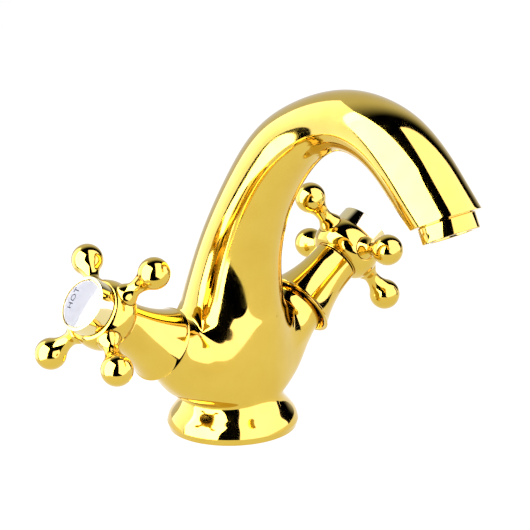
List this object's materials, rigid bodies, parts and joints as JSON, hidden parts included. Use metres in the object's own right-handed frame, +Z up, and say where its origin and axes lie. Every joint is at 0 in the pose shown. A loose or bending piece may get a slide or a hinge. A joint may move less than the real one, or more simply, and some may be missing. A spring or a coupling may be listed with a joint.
{
  "type": "bathroom mixer faucet",
  "caption": "Deck-mounted basin mixer with an arched fixed spout, angled side valves under trumpet covers, and turning cross handles with white index discs.",
  "frame": {"origin": "centre of the foot's underside, on the deck plane", "axes": "+Z up; the spout points along -Y; the hot valve is on the -X side and the cold valve on the +X side"},
  "size_m": [0.1798, 0.1797, 0.1609],
  "materials": {
    "polished_gold_plate": "mirror polished",
    "pale_gold_plate": "mirror polished",
    "turned_brass": "turned",
    "stainless_steel": "satin",
    "black_rubber": "matt",
    "alumina_ceramic": "lapped ceramic",
    "white_porcelain": "glazed porcelain",
    "grey_acetal": "moulded"
  },
  "bodies": {
    "faucet_body": {"mixer_body": "polished_gold_plate", "base_gasket": "black_rubber", "aerator_housing": "polished_gold_plate", "aerator_insert": "grey_acetal", "aerator_washer": "black_rubber", "hot_headwork": "turned_brass", "hot_headwork_washer": "black_rubber", "hot_seat_seal": "black_rubber", "hot_fixed_disc": "alumina_ceramic", "hot_valve_cover": "polished_gold_plate", "hot_retaining_clip": "stainless_steel", "cold_headwork": "turned_brass", "cold_headwork_washer": "black_rubber", "cold_seat_seal": "black_rubber", "cold_fixed_disc": "alumina_ceramic", "cold_valve_cover": "polished_gold_plate", "cold_retaining_clip": "stainless_steel"},
    "hot_handle": {"hot_hub": "polished_gold_plate", "hot_arm_1": "polished_gold_plate", "hot_arm_2": "polished_gold_plate", "hot_arm_3": "polished_gold_plate", "hot_arm_4": "polished_gold_plate", "hot_handle_screw": "stainless_steel", "hot_index_ring": "pale_gold_plate", "hot_index_disc": "white_porcelain", "hot_spindle": "turned_brass", "hot_spindle_oring": "black_rubber", "hot_moving_disc": "alumina_ceramic"},
    "cold_handle": {"cold_hub": "polished_gold_plate", "cold_arm_1": "polished_gold_plate", "cold_arm_2": "polished_gold_plate", "cold_arm_3": "polished_gold_plate", "cold_arm_4": "polished_gold_plate", "cold_handle_screw": "stainless_steel", "cold_index_ring": "pale_gold_plate", "cold_index_disc": "white_porcelain", "cold_spindle": "turned_brass", "cold_spindle_oring": "black_rubber", "cold_moving_disc": "alumina_ceramic"}
  },
  "joints": [
    {"name": "hot_handle_turn", "type": "hinge", "parent": "faucet_body", "child": "hot_handle", "pos_m": [-0.0688, 0, 0.06559], "axis": [-0.832, 0, 0.5548], "range_deg": [0, 180]},
    {"name": "cold_handle_turn", "type": "hinge", "parent": "faucet_body", "child": "cold_handle", "pos_m": [0.0688, 0, 0.06559], "axis": [0.832, 0, 0.5548], "range_deg": [0, 180]}
  ]
}
